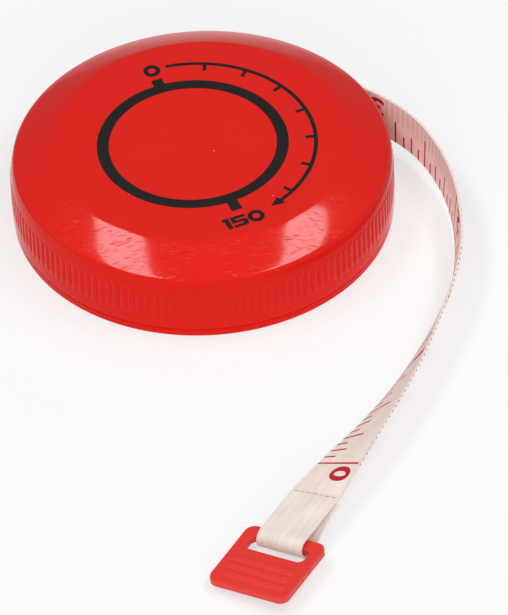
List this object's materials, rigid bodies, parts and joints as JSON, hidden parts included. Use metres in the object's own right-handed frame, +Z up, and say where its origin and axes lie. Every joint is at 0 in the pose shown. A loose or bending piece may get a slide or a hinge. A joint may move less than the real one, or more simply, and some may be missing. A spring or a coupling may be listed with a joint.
{
  "type": "retractable tape measure",
  "caption": "Pocket tape measure: round red ribbed case with a spring reel and a push-button brake below, woven tape pulled out to a slotted plastic tab.",
  "frame": {"origin": "middle of the flat underside of the round case", "axes": "+Z up out of the case's top, -Y towards the pull tab's end of the free tape, +X to the side where the tape leaves"},
  "size_m": [0.0596, 0.1045, 0.012],
  "materials": {
    "case_plastic": "glossy moulded red polystyrene",
    "reel_plastic": "natural moulded acetal",
    "button_plastic": "black moulded plastic",
    "spring_steel": "tempered spring steel",
    "brake_rubber": "friction rubber",
    "tape_cloth": "coated woven tape printed in red",
    "tab_plastic": "satin moulded red plastic"
  },
  "bodies": {
    "case": {"case_top": "case_plastic", "case_bottom": "case_plastic", "tape_free": "tape_cloth", "tape_end_loop": "tape_cloth"},
    "reel": {"reel": "reel_plastic", "reel_flange": "reel_plastic", "spring_cover": "button_plastic", "mainspring": "spring_steel", "tape_wound": "tape_cloth"},
    "button": {"release_button": "button_plastic", "brake_ring": "brake_rubber", "button_spring": "spring_steel"},
    "tab": {"pull_tab": "tab_plastic"}
  },
  "joints": [
    {"name": "reel_turn", "type": "hinge", "parent": "case", "child": "reel", "pos_m": [0, 0, 0.0053], "axis": [0, 0, -1], "range_deg": [-235, 3850], "deforming": ["mainspring"]},
    {"name": "button_press", "type": "slide", "parent": "case", "child": "button", "axis": [0, 0, 1], "range_m": [0, 0.0012], "stiffness_N_per_m": 800, "springref_m": -0.001, "deforming": ["button_spring"]},
    {"name": "tab_flip", "type": "hinge", "parent": "case", "child": "tab", "pos_m": [0.00867, -0.06758, 0.0018], "axis": [-0.8504, 0.517, -0.0976], "range_deg": [0, 110]}
  ]
}
